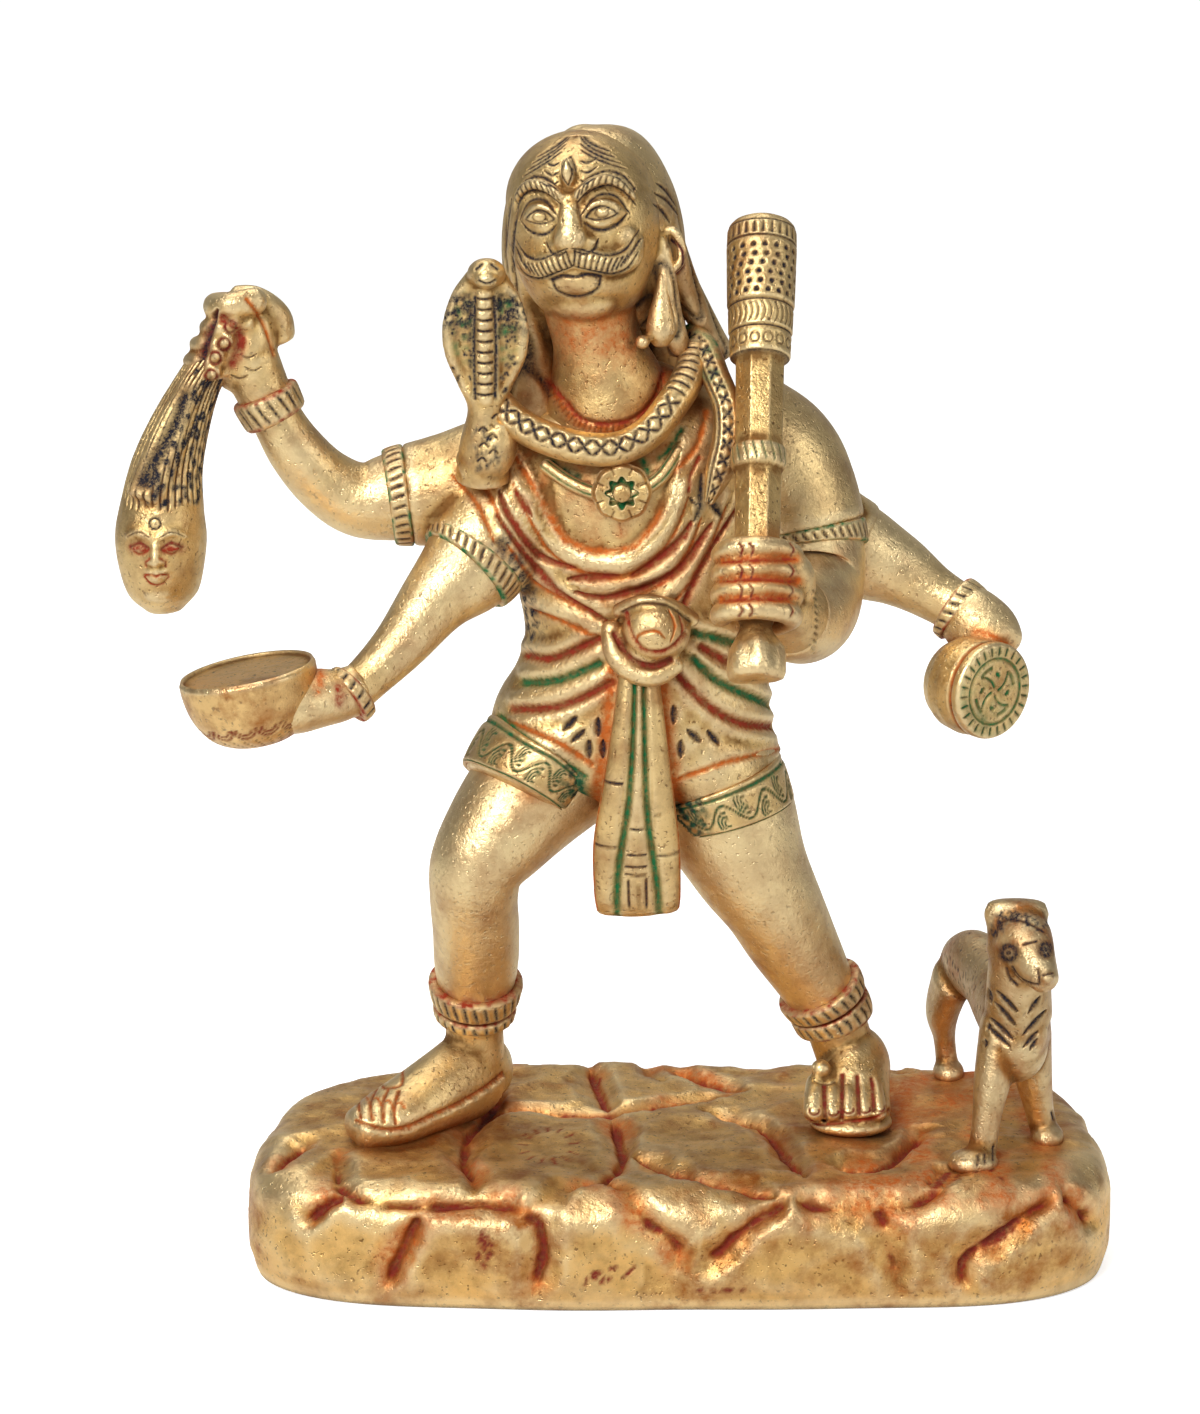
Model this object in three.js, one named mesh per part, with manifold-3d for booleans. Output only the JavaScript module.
// A four-armed guardian figure in cast brass, striding on a cracked-rock plinth with a dog
// beside it. The whole work is one casting, so it is one mesh.
//
// Millimetres, +Z up. The figure looks towards -Y, and +X is on the viewer's right.
// The origin is the middle of the plinth's flat underside. Left and right are the viewer's.

import * as THREE from "three";
import { mergeVertices } from "three/addons/utils/BufferGeometryUtils.js";
import Module from "manifold-3d";

const wasm = await Module();
wasm.setup();

// Driving dimensions

// The plinth's plan is a squarish oval, squarer in front, whose left end slants in towards the
// back. Its upper edge is rounded.
const PLINTH = {
  halfLength: 92.6, halfDepth: 42.5, height: 25, squareInFront: 4.2, squareBehind: 3.4, slant: 0.09, edge: 7,
};
const CRACK = { width: 2.2, depth: 1.5 };

// A body row is [x, y, z, across, deep]: the middle of a ring and its two half-widths.
const TRUNK = [
  [-8.6, 3, 97, 27, 15],
  [-8.8, 3, 106, 31, 18],
  [-8.6, 2.5, 114, 30.5, 18.5],
  [-7, 2, 124, 27, 17.5],
  [-6, 1.5, 134, 25.8, 16.5],
  [-6.5, 1, 145, 26.3, 16.5],
  [-8, 0.5, 156, 27.5, 17],
  [-10, 0.5, 167, 28, 17.5],
  [-12, 1.5, 177, 27, 15],
  [-13, 2, 184, 20, 12],
  [-14, 1.5, 190, 11, 9.5],
];
const NECK = [
  [-13.5, 0, 180, 13, 11],
  [-14.8, -1.5, 188, 10.8, 10.2],
  [-17.2, -3, 197, 9.9, 9.8],
  [-18.5, -2, 207, 10.5, 10.5],
];
const UPPER_LEFT_ARM = [
  [-22, 2, 171, 14, 13],
  [-36, 2, 168, 12.5, 12],
  [-47, 2, 165.5, 11, 10.5],
  [-57, 1.5, 164.2, 9.6, 9.4],
  [-66, 0.5, 163.6, 7.9, 7.8],
  [-73, -1, 167.8, 6.8, 6.6],
  [-78.6, -3, 174.6, 6, 6],
  [-82.6, -4, 181.8, 5.3, 5.2],
  [-85.6, -4.5, 188.4, 5.8, 5.2],
  [-87.6, -5, 194, 6, 5.4],
];
const LOWER_LEFT_ARM = [
  [-26, 0, 167, 12, 12],
  [-36, -3, 160, 11.5, 11],
  [-42.8, -8, 151.6, 10.4, 9.6],
  [-49.8, -13, 145.2, 7.5, 7.5],
  [-56.8, -19, 137.2, 5.7, 5.7],
  [-63.4, -23, 131, 4.7, 4.7],
  [-68, -26, 127.4, 4.7, 4.6],
];
const FRONT_RIGHT_ARM = [
  [12, 4, 177, 13, 13],
  [20, 4, 171, 13, 13.5],
  [24.5, 3, 162, 12.6, 13],
  [26.5, 1, 152, 12.8, 12.8],
  [26.8, -4, 145, 12.4, 12],
  [26, -13, 143, 11, 10.6],
  [23.5, -22, 143.5, 9, 9],
  [20.5, -30, 147.5, 7, 7],
  [18.5, -34, 150, 6.4, 6.4],
];
const REAR_RIGHT_ARM = [
  [18, 10, 165, 11, 12],
  [30, 12, 155.5, 10.5, 11],
  [40, 12, 149.6, 9.6, 9.6],
  [47.5, 11, 146, 7.7, 7.8],
  [54, 8.5, 142.2, 6, 5.8],
  [59.5, 6, 139, 5.5, 5.3],
  [63, 3.5, 135.5, 6, 5.5],
];
const LEFT_LEG = [
  [-22, 3, 108, 15, 15],
  [-30, 0, 101, 13.8, 14],
  [-37, -4, 93.5, 12, 12.5],
  [-41.8, -6.5, 86.5, 10.2, 10.5],
  [-42.8, -4.5, 79, 9.4, 9.6],
  [-42.6, 0, 70, 9.3, 9.8],
  [-42.8, 4.5, 60, 9, 9.2],
  [-43.3, 7.5, 50, 7.2, 7.4],
  [-43.5, 8.5, 45, 6.4, 6.8],
  [-43, 9, 37, 6.2, 7.5],
];
const RIGHT_LEG = [
  [6, 3, 106, 16, 15.5],
  [11, 2, 95, 15, 14.5],
  [16, 1.5, 84, 12.6, 12.8],
  [20.8, 2, 75.5, 10.8, 11.2],
  [25, 4, 67, 9.8, 10],
  [30, 6.5, 57.5, 8.4, 8.6],
  [34.5, 8.5, 48.5, 7, 7.2],
  [38, 9.5, 38, 6.6, 7],
];
const LEFT_FOOT = [
  [-39, 14.4, 30.6, 4, 5],
  [-41, 12, 32.6, 6.4, 8],
  [-44.4, 8, 34.2, 7.3, 9.8],
  [-49.5, 3, 33, 8, 8.6],
  [-56, -2.5, 31.2, 8.3, 6.8],
  [-62, -7.5, 29.8, 8, 5.4],
  [-67, -11.2, 29, 5.5, 4.4],
];
const RIGHT_FOOT = [
  [41.5, 18, 31, 4, 6],
  [41, 14, 33, 7, 8.4],
  [40, 8, 34.5, 7.6, 10],
  [39, 2.5, 32.5, 8.2, 8.2],
  [38.2, -3, 29.8, 8.8, 5.6],
];
const LEFT_SHORTS = [
  [-14, 3, 113, 18, 17.5],
  [-22.5, 1.5, 109, 16.8, 16.8],
  [-29, -0.5, 104.5, 15.3, 15.3],
  [-34, -2.8, 99.5, 14, 14.2],
];
const RIGHT_SHORTS = [
  [-2, 3, 112, 19, 17.5],
  [4, 2.6, 105.5, 17.5, 17],
  [8.6, 2.2, 99, 15.6, 15.8],
  [12.2, 1.8, 92.5, 14, 14.8],
];
const LOINCLOTH = [
  [-8, -15.5, 132, 3.8, 2.4],
  [-8, -17, 120, 5.4, 2.4],
  [-8.2, -17, 106, 7.3, 2.4],
  [-8.4, -15.5, 94, 9.7, 2.3],
  [-8.2, -14.5, 84, 9.2, 2.2],
  [-8, -14, 78.2, 7.8, 2],
];
const FACE = [
  [-18.8, -9.4, 202.6, 6, 5.4],
  [-18.8, -8, 205.8, 10.2, 9.4],
  [-18.9, -6.8, 210.5, 13, 11.8],
  [-19.1, -5.4, 217, 15, 13.2],
  [-19.5, -4.4, 224, 15.4, 13.8],
  [-20, -3, 230.5, 14, 12.8],
  [-20.5, -1.5, 235.6, 10, 9.5],
];
const HAIR = [
  [-16.4, 7, 199, 16, 10],
  [-16.8, 6.5, 206, 18.4, 13],
  [-17.2, 6, 213, 19, 15.5],
  [-17.6, 5.5, 220, 18.6, 16.5],
  [-18.2, 4.5, 227, 17, 16.3],
  [-19, 3.5, 233.5, 13.8, 13.6],
  [-20.2, 3, 238, 8, 8],
  [-20.7, 3, 239.8, 2.5, 2.5],
];
const BACK_HAIR = [
  [-15.5, 10, 212, 17, 9],
  [-14.5, 11.5, 201, 16.5, 7.5],
  [-13.5, 12.5, 190, 15.5, 6.5],
  [-12.8, 13, 179, 12, 5],
  [-12.4, 13, 172, 6, 3.5],
];
const SEVERED_HEAD = [
  [-105.8, -10, 142.8, 4, 4],
  [-106, -10, 146.2, 7.2, 7.2],
  [-106.2, -10, 152, 8.8, 9],
  [-106.2, -9.6, 158, 9.4, 9.6],
  [-105.8, -9.2, 164, 8.6, 8.8],
  [-104.6, -8.6, 172, 7.4, 7],
  [-101.6, -7.8, 181, 6, 5.6],
  [-97.4, -6.8, 190, 4.6, 4.4],
  [-92.5, -6, 197, 4.4, 4],
];
const COBRA_HOOD = [
  [-40, -11, 170, 5.6, 5.6],
  [-39.6, -13, 178, 4.8, 4.8],
  [-39.2, -14.5, 185, 3.6, 3.4],
  [-39.1, -15.2, 190, 5.6, 2.8],
  [-39, -15.6, 196, 8.2, 2.4],
  [-39, -15.6, 202, 8.7, 2.4],
  [-38.9, -15.4, 208, 7, 2.6],
  [-38.7, -15.4, 212, 4.4, 3.2],
];

// Cords and folds are runs of points that a round section follows.
const SNAKE_BODY = {
  radius: 3.1,
  run: [
    [-37, -12, 186], [-33.5, -14.5, 182.8], [-27.5, -16.8, 179.8], [-19.4, -18, 177.6],
    [-12, -17.6, 177.6], [-6, -16, 180.6], [-1.6, -12.6, 185.4], [1.8, -8, 190],
    [3.6, -2, 194.5],
  ],
};
const SNAKE_TAIL = {
  radius: 2.9,
  run: [
    [3, 4, 197], [5.4, -2, 195.5], [7.4, -8, 191], [9.6, -13, 185.4],
    [9.6, -16, 179], [8.2, -17.6, 173], [6.2, -18, 167],
  ],
};
// The club leans back from its knob below to its rounded head above.
const CLUB = { head: [17.2, 4, 220.6], knob: [14.5, -46, 136.4], gripFrom: 68.5, gripTo: 85 };
const DRUM = { face: [66, -11, 125.2], radius: 10.2, length: 15, waist: 7.6, turn: 36 };
const BOWL = { middle: [-87.4, -28, 134.2], radius: 14, depth: 15.6, tilt: 10 };
const FINGER = 2.15;

// Mesh helpers

const BACK = [0, 1, 0];
const UP = [0, 0, 1];
const RIGHT = [1, 0, 0];

// A closed three.js geometry as a solid that can be joined and cut.
function solid(geometry) {
  const bare = geometry.index ? geometry.clone() : geometry;
  bare.deleteAttribute("normal");
  bare.deleteAttribute("uv");
  const merged = mergeVertices(bare, 1e-4);
  const vertProperties = new Float32Array(merged.attributes.position.array);
  const triVerts = new Uint32Array(merged.index.array);
  return new wasm.Manifold(new wasm.Mesh({ numProp: 3, vertProperties, triVerts }));
}

function join(parts) {
  return parts.reduce((whole, part) => whole.add(part));
}

// The row at t (0 to 1) on the smooth curve (Catmull-Rom, column by column) through rows.
function rowAt(rows, t) {
  const last = rows.length - 1;
  const place = Math.min(Math.max(t, 0), 1) * last;
  const i = Math.min(Math.floor(place), last - 1);
  const f = place - i;
  const at = (k) => rows[Math.min(Math.max(k, 0), last)];
  const [p, q, r, s] = [at(i - 1), at(i), at(i + 1), at(i + 2)];
  return q.map((_, k) => {
    const pull = (r[k] - p[k]) * f;
    const bend = (2 * p[k] - 5 * q[k] + 4 * r[k] - s[k]) * f * f;
    const turn = (3 * q[k] - p[k] - 3 * r[k] + s[k]) * f * f * f;
    return q[k] + (pull + bend + turn) / 2;
  });
}

// The ring of a limb at t: its middle, its two half-widths and the two directions they lie in.
// "facing" is the direction that the deep half-width keeps to.
function ringAt(rows, t, facing) {
  const [x, y, z, across, deep] = rowAt(rows, t);
  const middle = new THREE.Vector3(x, y, z);
  const step = 0.5 / rows.length;
  const ahead = rowAt(rows, t + step);
  const behind = rowAt(rows, t - step);
  const along = new THREE.Vector3(ahead[0] - behind[0], ahead[1] - behind[1], ahead[2] - behind[2]);
  along.normalize();
  const inward = new THREE.Vector3(...facing);
  inward.addScaledVector(along, -inward.dot(along)).normalize();
  const sideways = new THREE.Vector3().crossVectors(inward, along);
  return { middle, along, inward, sideways, across, deep };
}

// A closed skin over rings of equal point counts, with a fan to a point at either end.
function skin(rings, startPoint, endPoint) {
  const sides = rings[0].length;
  const points = [startPoint, ...rings.flat(), endPoint];
  const index = [];
  const at = (i, j) => 1 + i * sides + (j % sides);
  for (let j = 0; j < sides; j += 1) {
    index.push(0, at(0, j + 1), at(0, j));
    index.push(points.length - 1, at(rings.length - 1, j), at(rings.length - 1, j + 1));
    for (let i = 0; i + 1 < rings.length; i += 1) {
      index.push(at(i, j), at(i, j + 1), at(i + 1, j + 1));
      index.push(at(i, j), at(i + 1, j + 1), at(i + 1, j));
    }
  }
  const geometry = new THREE.BufferGeometry();
  geometry.setAttribute("position", new THREE.Float32BufferAttribute(points.flatMap((p) => p.toArray()), 3));
  geometry.setIndex(index);
  return solid(geometry);
}

// A limb: oval rings along its rows, one for each row. "tips" rounds an end over that length
// in millimetres, and each of "cuffs" is a raised band [from, to, rise] in t.
function limb(rows, options = {}) {
  const { sides = 10, steps = rows.length - 1, facing = BACK, tips = [0, 0], cuffs = [] } = options;
  const oval = (t, shift, scale, rise) => {
    const ring = ringAt(rows, t, facing);
    const points = [];
    for (let j = 0; j < sides; j += 1) {
      const angle = (2 * Math.PI * j) / sides;
      const point = ring.middle.clone().addScaledVector(ring.along, shift);
      point.addScaledVector(ring.sideways, (ring.across * scale + rise) * Math.cos(angle));
      point.addScaledVector(ring.inward, (ring.deep * scale + rise) * Math.sin(angle));
      points.push(point);
    }
    return points;
  };
  const places = [];
  for (let i = 0; i <= steps; i += 1) places.push([i / steps, 0]);
  const clear = ([t]) => cuffs.every(([from, to]) => t < from - 0.02 || t > to + 0.02);
  const raised = cuffs.flatMap(([from, to, rise]) => {
    const bevel = 0.16 * (to - from);
    return [[from, 0], [from + bevel, rise], [to - bevel, rise], [to, 0]];
  });
  const rings = [...places.filter(clear), ...raised].sort((a, b) => a[0] - b[0]).map(([t, rise]) => oval(t, 0, 1, rise));
  if (tips[0] > 0) rings.unshift(oval(0, -0.7 * tips[0], 0.7, 0));
  if (tips[1] > 0) rings.push(oval(1, 0.7 * tips[1], 0.7, 0));
  const [first, last] = [ringAt(rows, 0, facing), ringAt(rows, 1, facing)];
  const start = first.middle.clone().addScaledVector(first.along, -tips[0]);
  const end = last.middle.clone().addScaledVector(last.along, tips[1]);
  return skin(rings, start, end);
}

// A round cord through a run of points, thinner towards its ends by "taper".
function cord(run, radius, options = {}) {
  const { taper = [1, 1], ...rest } = options;
  const rows = run.map((point, i) => {
    const u = i / (run.length - 1);
    const size = radius * Math.min(1, taper[0] + 4 * u, taper[1] + 4 * (1 - u));
    return [...point, size, size];
  });
  const tips = [radius * taper[0] * 0.6, radius * taper[1] * 0.6];
  return limb(rows, { sides: 6, steps: 2 * (run.length - 1), tips, ...rest });
}

// An ellipsoid with half-widths [x, y, z], turned by [x, y, z] degrees and set at a point.
function lump(middle, halfWidths, turn = [0, 0, 0], sides = 8) {
  const sphere = new THREE.SphereGeometry(1, sides, Math.max(4, Math.round(sides * 0.6)));
  sphere.scale(...halfWidths);
  return solid(placed(sphere, middle, turn));
}

function placed(geometry, middle, turn = [0, 0, 0]) {
  const euler = new THREE.Euler(...turn.map(THREE.MathUtils.degToRad));
  const turned = new THREE.Matrix4().makeRotationFromEuler(euler);
  return geometry.applyMatrix4(turned.setPosition(...middle));
}

// A turned shape: a profile of [radius, height] from end to end, whose height runs from
// "start" towards "end".
function turned(profile, start, end, sides) {
  const points = profile.map(([radius, height]) => new THREE.Vector2(radius, height));
  const lathe = new THREE.LatheGeometry(points, sides);
  const from = new THREE.Vector3(...start);
  const axis = new THREE.Vector3(...end).sub(from).normalize();
  lathe.applyQuaternion(new THREE.Quaternion().setFromUnitVectors(new THREE.Vector3(0, 1, 0), axis));
  return solid(lathe.translate(...start));
}

// The front of the trunk at x and z: y where the oval ring at that height is met from -Y.
function trunkFront(x, z) {
  let low = 0;
  let high = 1;
  for (let i = 0; i < 24; i += 1) {
    const middle = (low + high) / 2;
    if (rowAt(TRUNK, middle)[2] < z) low = middle;
    else high = middle;
  }
  const [cx, cy, , across, deep] = rowAt(TRUNK, low);
  const side = Math.min(0.98, Math.abs(x - cx) / across);
  return cy - deep * Math.sqrt(1 - side * side);
}

// A fold of cloth: a cord that lies half sunk on the trunk's front, through [x, z] points.
function fold(run, radius, proud) {
  const laid = run.map(([x, z]) => [x, trunkFront(x, z) - proud * radius, z]);
  return cord(laid, radius, { taper: [0.5, 0.5], sides: 5, steps: Math.round(1.4 * (run.length - 1)) });
}

// The plinth

function plinthDepthAt(x) {
  const { halfLength, halfDepth, squareInFront } = PLINTH;
  return halfDepth * (1 - Math.abs(x / halfLength) ** squareInFront) ** (1 / squareInFront);
}

// A point of the plinth's skin: x along it, and the girth from the foot of its front face up,
// over the rounded edge and back across the top. Gives the point and the skin's normal there.
function plinthAt([x, girth]) {
  const { height, edge } = PLINTH;
  const front = -plinthDepthAt(x);
  const wall = height - edge;
  const arc = (edge * Math.PI) / 2;
  if (girth < wall) return { point: [x, front, girth], normal: [0, -1, 0] };
  if (girth > wall + arc) return { point: [x, front + edge + girth - wall - arc, height], normal: [0, 0, 1] };
  const angle = (girth - wall) / edge;
  const point = [x, front + edge - edge * Math.cos(angle), wall + edge * Math.sin(angle)];
  return { point, normal: [0, -Math.cos(angle), Math.sin(angle)] };
}

// The cracks between the stones, as runs of [x, girth].
const CRACKS = [
  [[-72, 42], [-69, 26], [-56, 23.5], [-41, 24.5], [-31, 22.5]],
  [[-69, 26], [-78, 17]],
  [[-53, 22], [-61, 4]],
  [[-31, 22.5], [-28, 16], [-29.5, 5]],
  [[-31, 22.5], [-16, 33], [-11, 47], [-14, 73]],
  [[-16, 33], [-5, 19], [2, 13]],
  [[-42, 26], [-45, 45], [-43, 66], [-34, 74], [-14, 73], [16, 85]],
  [[-43, 66], [-38, 84]],
  [[-79, 47], [-86, 28]],
  [[-11, 50], [1, 37], [8, 32], [23, 26]],
  [[7, 72], [19, 64], [24, 47], [27, 33]],
  [[23, 26], [14, 18], [6, 11]],
  [[23, 26], [32, 23], [40, 23], [43, 17], [46, 4]],
  [[40, 23], [50, 25], [59, 38]],
  [[34, 42], [43, 40], [54, 60]],
  [[80, 24], [70, 18], [61, 12], [60, 4]],
  [[80, 24], [88, 14]],
];

// The rock: rings of the squarish oval, up the wall, round the edge and in to the middle.
// The wall waves a little.
function rock() {
  const { halfLength, halfDepth, height, squareInFront, squareBehind, slant, edge } = PLINTH;
  const sides = 44;
  const ring = (inset, z, wave) => {
    const points = [];
    for (let j = 0; j < sides; j += 1) {
      const angle = (2 * Math.PI * j) / sides;
      const c = Math.cos(angle);
      const s = Math.sin(angle);
      const power = 2 / (s < 0 ? squareInFront : squareBehind);
      const pulled = inset + wave * (1 + Math.sin(5 * angle + 1) + 0.6 * Math.sin(11 * angle));
      const x = (halfLength - pulled) * Math.sign(c) * Math.abs(c) ** power;
      const y = (halfDepth - pulled) * Math.sign(s) * Math.abs(s) ** power;
      const slid = slant * (y + halfDepth) * Math.min(0, x / halfLength) ** 2;
      points.push(new THREE.Vector3(x + slid, y, z));
    }
    return points;
  };
  const rings = [ring(1.2, 0, 0.3), ring(0, 3, 0.3), ring(0, 10, 0.5), ring(0, height - edge, 0.6)];
  for (const angle of [0.55, 1.1]) {
    rings.push(ring(edge * (1 - Math.cos(angle)), height - edge + edge * Math.sin(angle), 0.6));
  }
  rings.push(ring(edge, height, 0.3));
  return skin(rings, new THREE.Vector3(0, 0, 0), new THREE.Vector3(0, 0, height));
}

// A crack's cutter: a three-sided bar along the run, whose sharp edge lies under the skin.
function groove(run) {
  const places = run.map(plinthAt).map(({ point, normal }) => ({
    point: new THREE.Vector3(...point),
    normal: new THREE.Vector3(...normal),
  }));
  const rings = places.map(({ point, normal }, i) => {
    const before = places[Math.max(i - 1, 0)].point;
    const after = places[Math.min(i + 1, places.length - 1)].point;
    const side = new THREE.Vector3().subVectors(after, before).cross(normal).normalize();
    const proud = point.clone().addScaledVector(normal, CRACK.depth);
    return [
      point.clone().addScaledVector(normal, -CRACK.depth),
      proud.clone().addScaledVector(side, -CRACK.width),
      proud.clone().addScaledVector(side, CRACK.width),
    ];
  });
  const middleOf = (ring) => ring[0].clone().add(ring[1]).add(ring[2]).divideScalar(3);
  return skin(rings, middleOf(rings[0]), middleOf(rings[rings.length - 1]));
}

function plinth() {
  return rock().subtract(join(CRACKS.map(groove)));
}

// The figure. Bracelets, armlets, anklets and hems are raised bands of what they sit on.

function body() {
  return join([
    limb(TRUNK, { sides: 18 }),
    limb(NECK, { sides: 12 }),
    limb(LEFT_LEG, { cuffs: [[0.7, 0.765, 2], [0.77, 0.835, 2]] }),
    limb(RIGHT_LEG, { cuffs: [[0.76, 0.825, 2], [0.83, 0.895, 2]] }),
    limb(LEFT_FOOT, { facing: UP, tips: [2.5, 2.2] }),
    limb(RIGHT_FOOT, { facing: UP, tips: [2.5, 2] }),
    ...toes(),
    limb(UPPER_LEFT_ARM, { cuffs: [[0.32, 0.37, 0.9], [0.77, 0.85, 1.5]] }),
    limb(LOWER_LEFT_ARM, { cuffs: [[0.31, 0.38, 1], [0.9, 0.99, 1.8]] }),
    limb(FRONT_RIGHT_ARM, { facing: RIGHT, cuffs: [[0.31, 0.37, 0.9]] }),
    limb(REAR_RIGHT_ARM, { cuffs: [[0.79, 0.9, 1.6]] }),
  ]);
}

function toes() {
  const spread = [-6.9, -3.6, -0.2, 3.2, 6.4];
  return spread.map((x, i) => cord([[37.9 + x, -4, 28.6], [38.2 + x, -8.6 + 0.3 * i, 27.6]], 1.9, { sides: 6, steps: 1, facing: UP }));
}

function clothes() {
  return join([
    limb(LEFT_SHORTS, { sides: 14, cuffs: [[0.68, 1, 1]] }),
    limb(RIGHT_SHORTS, { sides: 14, cuffs: [[0.68, 1, 1]] }),
    limb(LOINCLOTH, { sides: 8 }),
    ...folds(),
    knot(),
  ]);
}

// The shawl hangs in curves from shoulder to shoulder, and the waist cloth fans from the knot.
const SHAWL = [
  [[-35, 172], [-31, 163], [-24, 156], [-15, 152.5], [-8, 153.5], [-1, 160], [3, 169]],
  [[-36, 166], [-32, 157], [-25, 150], [-16, 147], [-7, 148], [2, 154], [8, 163], [10, 172]],
  [[-35, 158], [-30, 150], [-22, 145], [-13, 142.5], [-5, 143.5], [4, 149], [11, 158]],
];
const WAIST_LEFT = [
  [[-30, 137], [-22, 137.5], [-13, 140.5]],
  [[-31, 131], [-21, 132.5], [-12, 136.5]],
  [[-32, 125.5], [-21, 127], [-11, 133]],
];
const WAIST_RIGHT = [
  [[1, 140], [8, 137.5], [16, 135]],
  [[1, 136], [8, 131.5], [18, 127]],
  [[-1, 132.5], [6, 126], [18, 121.5]],
];

function folds() {
  return [
    ...SHAWL.map((run) => fold(run, 2, 0.4)),
    ...WAIST_LEFT.map((run) => fold(run, 1.8, 0.5)),
    ...WAIST_RIGHT.map((run) => fold(run, 1.8, 0.5)),
  ];
}

function knot() {
  const middle = [-5, -17.6, 140.4];
  const loop = [];
  for (let i = 0; i <= 8; i += 1) {
    const angle = (2 * Math.PI * i) / 8;
    loop.push([middle[0] + 5.4 * Math.cos(angle), middle[1] - 0.8, middle[2] + 5 * Math.sin(angle)]);
  }
  return join([
    lump(middle, [6.6, 4.6, 6.2]),
    cord(loop, 2.1, { sides: 5, steps: 10 }),
    lump([-6, -17, 133.6], [4.6, 3.2, 2.4]),
  ]);
}

// The head: an oval face under long hair, with plain, calm, evenly spaced features.
// Face places are [x, z] from the middle between the eyes, in the face's own turned frame.
const FACE_TURN = [0, -5, -11];
const FACE_MIDDLE = [-19.3, -3.8, 225];
const FACE_RADIUS = 14;

function onFace(x, z, proud = 0) {
  const radius = Math.sqrt(Math.max(1, FACE_RADIUS ** 2 - 0.8 * x * x - 0.22 * z * z));
  const point = new THREE.Vector3(x, -(radius + proud), z);
  const euler = new THREE.Euler(...FACE_TURN.map(THREE.MathUtils.degToRad));
  return point.applyEuler(euler).add(new THREE.Vector3(...FACE_MIDDLE)).toArray();
}

function moustache(s) {
  return [onFace(s * 0.6, -8.6, 0), onFace(s * 4, -9.6, 0.3), onFace(s * 8, -9.8, 0.2), onFace(s * 11.6, -6.6, -0.2)];
}

function features() {
  const both = (make) => [-1, 1].map(make);
  const nose = [
    [...onFace(0, 2, -1), 1.6, 1.6],
    [...onFace(0, -2, 0.8), 2.1, 2],
    [...onFace(0, -6, 1.8), 2.9, 2.6],
    [...onFace(0, -8.4, -0.6), 2.2, 1.8],
  ];
  return join([
    limb(nose, { sides: 6, tips: [0.5, 1] }),
    ...both((s) => lump(onFace(s * 2.6, -7.2, -0.2), [1.6, 1.6, 1.5], FACE_TURN, 6)),
    ...both((s) => lump(onFace(s * 6.4, -0.2, -0.7), [3.6, 1.9, 2.2], FACE_TURN)),
    ...both((s) => cord([onFace(s * 2, 3.4, 0.1), onFace(s * 6.4, 5.6, 0.1), onFace(s * 11, 3, 0)], 1.2, { sides: 5, steps: 3 })),
    ...both((s) => cord(moustache(s), 1.9, { taper: [1, 0.3], sides: 5, steps: 4 })),
    lump(onFace(0, -11.2, -0.7), [3.8, 1.7, 1.1], FACE_TURN),
    lump(onFace(0, -13.1, -0.6), [3.3, 1.8, 1.3], FACE_TURN),
    lump(onFace(0, -17.8, -1), [4.4, 2.6, 2.6], FACE_TURN),
    lump(onFace(0, 8, -0.7), [1.5, 1.5, 2.8], FACE_TURN, 6),
  ]);
}

const LOCKS = [
  [[-4, 1, 224, 3, 4], [-1.6, 2, 216, 3.2, 4.6], [1.2, 4, 208, 3.2, 4.6], [5.2, 6, 200, 3, 4.4], [9.6, 8, 193, 2.4, 3.6]],
  [[-3.6, -4, 216, 2.4, 2.6], [-2.6, -5.5, 209, 2.4, 2.6], [-1.6, -5.5, 202, 2.6, 2.6], [0.5, -3, 195, 2.6, 2.4]],
  [[-35, 1, 216, 2, 4], [-35.2, 1.5, 206, 2, 4.4], [-34, 2, 196, 2.4, 4.4], [-31, 3, 187, 2.4, 4]],
];

function head() {
  return join([
    limb(FACE, { sides: 14, tips: [1, 0] }),
    limb(HAIR, { sides: 14, tips: [0, 0.6] }),
    limb(BACK_HAIR, { tips: [0, 2] }),
    ...LOCKS.map((rows) => limb(rows, { sides: 6, tips: [1, 1] })),
    lump([-4.4, -8, 206.6], [2, 2, 3.6]),
    features(),
  ]);
}

function snake() {
  const cobraHead = lump([-38.6, -17.6, 212.8], [3.9, 4.6, 3.1], [-12, 0, 0]);
  const ribs = [];
  for (let i = 0; i < 7; i += 1) ribs.push(lump([-39, -17.6, 189 + 3 * i], [2.5, 1.3, 1.2], [0, 0, 0], 6));
  return join([
    limb(COBRA_HOOD, { tips: [0, 1.6] }),
    cobraHead,
    ...ribs,
    cord(SNAKE_BODY.run, SNAKE_BODY.radius, { steps: 14 }),
    cord(SNAKE_TAIL.run, SNAKE_TAIL.radius, { steps: 9, taper: [1, 0.4] }),
    cord(NECKLACE, 1.5, { sides: 5, steps: 7 }),
    pendant(),
  ]);
}

const NECKLACE = [[-27, 173], [-22, 170], [-16, 168], [-10, 168], [-4, 171], [0, 176]].map(
  ([x, z]) => [x, trunkFront(x, z) - 0.4, z],
);

function pendant() {
  const middle = [-11.6, -17.4, 168.6];
  const petals = [];
  for (let i = 0; i < 8; i += 1) {
    const angle = (2 * Math.PI * i) / 8;
    const place = [middle[0] + 4.2 * Math.cos(angle), middle[1], middle[2] + 4.2 * Math.sin(angle)];
    petals.push(lump(place, [1.9, 1.6, 1.9], [0, 0, 0], 6));
  }
  return join([lump(middle, [4.6, 1.8, 4.6]), lump([middle[0], middle[1] - 1.4, middle[2]], [1.8, 1.4, 1.8], [0, 0, 0], 6), ...petals]);
}

// What the four hands hold

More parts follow.
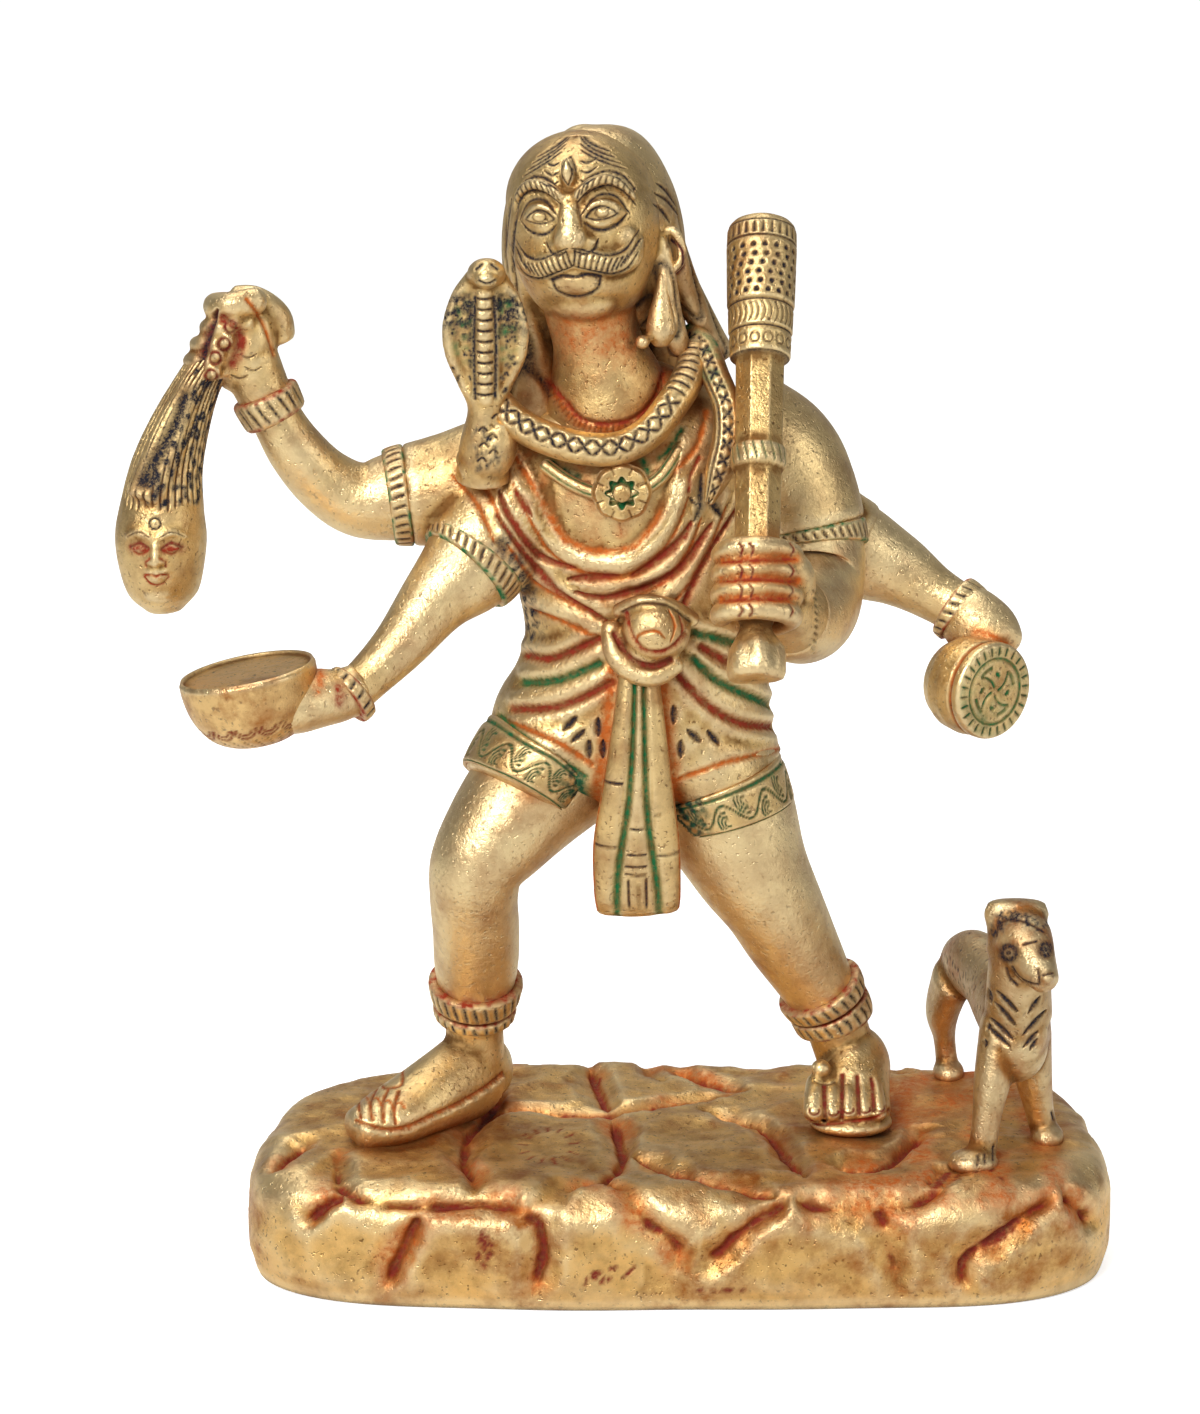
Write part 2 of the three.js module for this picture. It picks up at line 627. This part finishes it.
// The club: [radius, height] from the foot of its knob up to the crown of its head.
function club() {
  const profile = [
    [0, 0], [4.4, 0.2], [5.8, 4.5], [5.4, 8.4], [2.8, 11], [4.5, 14], [4.7, 43.4], [5.5, 44.6],
    [5.5, 48], [4.8, 49], [4.8, 66.6], [6.2, 68], [6.4, 72.4], [6.9, 74], [6.7, 78], [7.2, 79],
    [7.2, 91], [6.8, 94], [4.6, 96.4], [0, 98],
  ];
  return turned(profile, CLUB.knob, CLUB.head, 8);
}

// Four fingers wrapped round the club's grip, with the palm behind them.
function clubHand() {
  const knob = new THREE.Vector3(...CLUB.knob);
  const axis = new THREE.Vector3(...CLUB.head).sub(knob);
  const length = axis.length();
  axis.normalize();
  const right = new THREE.Vector3(1, 0, 0).addScaledVector(axis, -axis.x).normalize();
  const front = new THREE.Vector3().crossVectors(right, axis);
  if (front.y > 0) front.negate();
  const fingers = [];
  for (let i = 0; i < 4; i += 1) {
    const up = length - (CLUB.gripFrom + 2 + (i * (CLUB.gripTo - CLUB.gripFrom - 4)) / 3);
    const run = [-50, 5, 60, 120, 180].map((degrees) => {
      const angle = THREE.MathUtils.degToRad(degrees);
      const point = knob.clone().addScaledVector(axis, up);
      point.addScaledVector(right, 6.4 * Math.cos(angle)).addScaledVector(front, 6 * Math.sin(angle));
      return point.toArray();
    });
    fingers.push(cord(run, FINGER, { sides: 6, steps: 5, facing: UP }));
  }
  const palm = lump([21.5, -33, 152.6], [5.6, 5, 8.6], [30, 0, 0]);
  return join([...fingers, palm]);
}

function drum() {
  const turn = THREE.MathUtils.degToRad(DRUM.turn);
  const { face, radius, waist, length } = DRUM;
  const back = [face[0] - length * Math.sin(turn), face[1] + length * Math.cos(turn), face[2]];
  const profile = [
    [0, 0], [radius - 0.6, 0], [radius, 0.8], [radius, 2.4], [waist + 0.6, 5], [waist, length / 2],
    [waist + 0.6, length - 5], [radius, length - 2.4], [radius, length - 0.8], [radius - 0.6, length], [0, length],
  ];
  const fingers = [0, 1, 2].map((i) =>
    cord([[60 + 3 * i, 5 - 2 * i, 136], [63.6 + 2.8 * i, -2 - 2.4 * i, 136], [65 + 2.6 * i, -6 - 2 * i, 131.5]], 2, { sides: 5, steps: 3 }),
  );
  return join([
    turned(profile, face, back, 14),
    lump([62.4, 1.5, 133], [6.6, 6.4, 6.2]),
    lump([55, 0, 128.6], [3.6, 5, 5]),
    ...fingers,
  ]);
}

function bowl() {
  const { radius, depth, middle, tilt } = BOWL;
  const profile = [
    [0, -depth], [radius * 0.42, -depth * 0.97], [radius * 0.75, -depth * 0.76], [radius * 0.94, -depth * 0.45],
    [radius, -depth * 0.14], [radius * 0.98, 0], [radius * 0.9, -0.6], [0, -0.6],
  ];
  const lathe = new THREE.LatheGeometry(profile.map(([r, h]) => new THREE.Vector2(r, h)), 18);
  lathe.rotateX(Math.PI / 2).scale(1, 1.02, 1);
  const shell = solid(placed(lathe, middle, [0, -tilt, 0]));
  const hand = lump([-72.6, -27.4, 128.2], [8.4, 6.6, 6.8], [0, 20, 0], 10);
  const thumb = cord([[-68, -29, 132], [-72, -31.5, 134], [-76, -33, 133.6]], 1.9, { sides: 5, steps: 3 });
  return join([shell, hand, thumb]);
}

// The fist that grips the hair of the severed head, with the hair's ends above it.
function hairFist() {
  const fingers = [0, 1, 2, 3].map((i) => {
    const [x, z] = [-90.5 - 2.3 * i, 204.4 - 4.6 * i];
    return cord([[x + 5, -9.4, z + 0.8], [x, -10.2, z], [x - 3.6, -6.4, z - 0.8], [x - 2, -2.4, z - 1]], 2.3, { sides: 5, steps: 4, facing: UP });
  });
  const flap = [
    [-93.4, -1, 204.4, 2.6, 2], [-88.4, 0, 202.4, 4.4, 2.2], [-84, 0, 198.4, 4.2, 2.2], [-82, -1, 194, 2.4, 1.8],
  ];
  return join([
    lump([-88.6, -5, 196], [6.4, 5.6, 9.4], [0, 20, 0]),
    limb(flap, { sides: 8, tips: [1, 1] }),
    ...fingers,
  ]);
}

function severedHead() {
  const middle = [-106.2, -9.8, 156.8];
  const spot = (x, z, proud) => {
    const radius = Math.sqrt(92 - x * x - 0.3 * z * z);
    return [middle[0] + x, middle[1] - radius - proud, middle[2] + z];
  };
  return join([
    limb(SEVERED_HEAD, { sides: 12, tips: [1, 1] }),
    ...[-1, 1].map((s) => lump(spot(3.4 * s, 0.6, -0.7), [1.9, 1.2, 1], [0, 8, 0], 6)),
    ...[-1, 1].map((s) => cord([spot(1 * s, 2.6, -0.2), spot(3.6 * s, 3.4, -0.2), spot(6 * s, 2.4, -0.4)], 0.6, { sides: 4, steps: 2 })),
    cord([spot(0, 1.6, -0.6), spot(0, -0.8, 0), spot(0, -2.4, 0.6)], 1, { sides: 5, steps: 2 }),
    lump(spot(0, -5.2, -0.5), [2.5, 1.2, 1.1], [0, 0, 0], 6),
  ]);
}

// The dog

const DOG = {
  body: [
    [73, -20, 54.5, 5, 7], [72.6, -14, 53, 7, 9], [71, -4, 54, 6.8, 8.4], [69, 8, 55.4, 6.2, 7],
    [67, 19, 55.4, 6.6, 7.6], [65.8, 27, 53, 6, 7],
  ],
  neck: [[72.6, -15, 56, 6.4, 7], [72.4, -18.5, 66, 5, 5.6], [72, -19, 74, 5.4, 6]],
  head: [[71.4, -15, 75, 5, 5.4], [72.2, -20.5, 74.4, 6.1, 6.3], [74, -26.5, 71.2, 4.6, 4.6], [75.6, -31, 69, 3.1, 3.1]],
  crest: [[71.2, -17, 75, 5.2, 3.4], [71.1, -17.4, 81.2, 6.8, 2.4]],
  legs: [
    [[69.4, -15, 54, 4, 5.4], [66.6, -18.6, 43, 3.4, 4], [65.2, -20, 36, 2.7, 3], [64.3, -21, 30, 2.5, 2.7], [63.4, -22, 25, 3, 3]],
    [[75.4, -13, 52, 4, 5], [77.4, -10, 41, 3.3, 3.8], [79, -8, 32, 2.5, 2.7], [80.2, -7, 26, 2.6, 3]],
    [[62.4, 23, 51, 4.6, 7], [60.8, 27, 42, 3.8, 5], [61.8, 31, 34, 2.5, 3], [62.8, 31, 26, 2.6, 3]],
    [[70.6, 23, 51, 4.6, 7], [72.4, 26.5, 42, 3.6, 5], [73, 30, 34, 2.5, 3], [73, 30, 26, 2.6, 3]],
  ],
  paws: [[62.6, -24.6], [80.2, -9.4], [62.8, 29.6], [73, 28.6]],
  tail: [[66, 30, 57], [65.6, 35, 52.6], [65, 36, 46], [64.6, 34.6, 40]],
};

function dog() {
  return join([
    limb(DOG.body, { facing: UP, tips: [2, 3] }),
    limb(DOG.neck),
    limb(DOG.head, { sides: 8, facing: UP, tips: [2, 2] }),
    limb(DOG.crest, { sides: 8 }),
    ...DOG.legs.map((rows) => limb(rows, { sides: 7 })),
    ...DOG.paws.map(([x, y], i) => lump([x, y, 26.4], [i === 0 ? 5.4 : 3.6, 4.6, 2.8], [0, 0, 0], 6)),
    cord(DOG.tail, 1.9, { taper: [1, 0.5], sides: 5, steps: 4, facing: RIGHT }),
  ]);
}

// One casting

function casting() {
  return join([
    plinth(), body(), clothes(), head(), snake(), club(), clubHand(), drum(), bowl(),
    hairFist(), severedHead(), dog(),
  ]);
}

// Joining leaves many slivers. This merges the two ends of an edge, shortest edges first,
// where the surface stays closed (the ends share just two neighbours), no face turns over and
// no face's plane moves by more than the tolerance.
const MERGE = { longest: 8, tolerance: 0.18, passes: 14, leastTurn: 0.35 };

function thinned(manifold) {
  const mesh = manifold.getMesh();
  const points = [];
  for (let i = 0; i < mesh.vertProperties.length; i += 3) {
    points.push(new THREE.Vector3().fromArray(mesh.vertProperties, i));
  }
  const faces = [];
  const around = points.map(() => new Set());
  for (let i = 0; i < mesh.triVerts.length; i += 3) {
    const face = [mesh.triVerts[i], mesh.triVerts[i + 1], mesh.triVerts[i + 2]];
    face.forEach((corner) => around[corner].add(faces.length));
    faces.push(face);
  }
  const normalOf = (face, swap) => {
    const [a, b, c] = face.map((corner) => swap(corner));
    return new THREE.Vector3().subVectors(b, a).cross(new THREE.Vector3().subVectors(c, a));
  };
  const neighbours = (corner) => {
    const found = new Set([...around[corner]].flatMap((f) => faces[f]));
    found.delete(corner);
    return found;
  };
  // How far the planes round an edge's ends lie from the merged point, or Infinity if a face flips.
  const cost = (a, b, spot) => {
    let worst = 0;
    for (const f of new Set([...around[a], ...around[b]])) {
      const face = faces[f];
      const before = normalOf(face, (corner) => points[corner]);
      const size = before.length();
      if (size > 1e-5) worst = Math.max(worst, Math.abs(before.dot(spot.clone().sub(points[face[0]]))) / size);
      if (face.includes(a) && face.includes(b)) continue;
      const after = normalOf(face, (corner) => (corner === a || corner === b ? spot : points[corner]));
      const longest = Math.max(...face.map((c, k) => points[c].distanceTo(points[face[(k + 1) % 3]])));
      if (after.length() < 0.01 * longest) return Infinity;
      if (size > 1e-5 && before.dot(after) < MERGE.leastTurn * size * after.length()) return Infinity;
    }
    return worst;
  };
  const merge = (a, b, spot) => {
    points[a] = spot;
    for (const f of [...around[b]]) {
      const face = faces[f];
      if (face.includes(a)) {
        face.forEach((corner) => around[corner].delete(f));
        faces[f] = null;
      } else {
        face[face.indexOf(b)] = a;
        around[a].add(f);
      }
    }
    around[b].clear();
  };
  for (let pass = 0; pass < MERGE.passes; pass += 1) {
    const edges = [];
    for (const face of faces.filter(Boolean)) {
      for (let k = 0; k < 3; k += 1) {
        const [a, b] = [face[k], face[(k + 1) % 3]];
        const length = points[a].distanceTo(points[b]);
        if (a < b && length < MERGE.longest) edges.push([length, a, b]);
      }
    }
    edges.sort((p, q) => p[0] - q[0]);
    let merged = 0;
    for (const [length, a, b] of edges) {
      if (around[a].size === 0 || around[b].size === 0) continue;
      if (Math.abs(points[a].distanceTo(points[b]) - length) > 1e-9) continue;
      const near = neighbours(a);
      if (!near.has(b)) continue;
      if ([...neighbours(b)].filter((corner) => near.has(corner)).length !== 2) continue;
      const spots = [points[a].clone(), points[b].clone(), points[a].clone().lerp(points[b], 0.5)];
      const costs = spots.map((spot) => cost(a, b, spot));
      const least = Math.min(...costs);
      if (least > MERGE.tolerance) continue;
      merge(a, b, spots[costs.indexOf(least)]);
      merged += 1;
    }
    if (merged === 0) break;
  }
  const kept = faces.filter(Boolean);
  const used = [...new Set(kept.flat())];
  const place = new Map(used.map((corner, i) => [corner, i]));
  return { points: used.map((corner) => points[corner]), faces: kept.map((face) => face.map((corner) => place.get(corner))) };
}

function geometryOf({ points, faces }) {
  const geometry = new THREE.BufferGeometry();
  geometry.setAttribute("position", new THREE.Float32BufferAttribute(points.flatMap((p) => p.toArray()), 3));
  geometry.setIndex(faces.flat());
  geometry.computeVertexNormals();
  return geometry;
}

const brass = new THREE.MeshStandardMaterial({ color: 0xc9a366, roughness: 0.34, metalness: 0.95 });
const statue = new THREE.Mesh(geometryOf(thinned(casting())), brass);
statue.name = "brass_casting";

const work = new THREE.Group();
work.add(statue);

export default work;
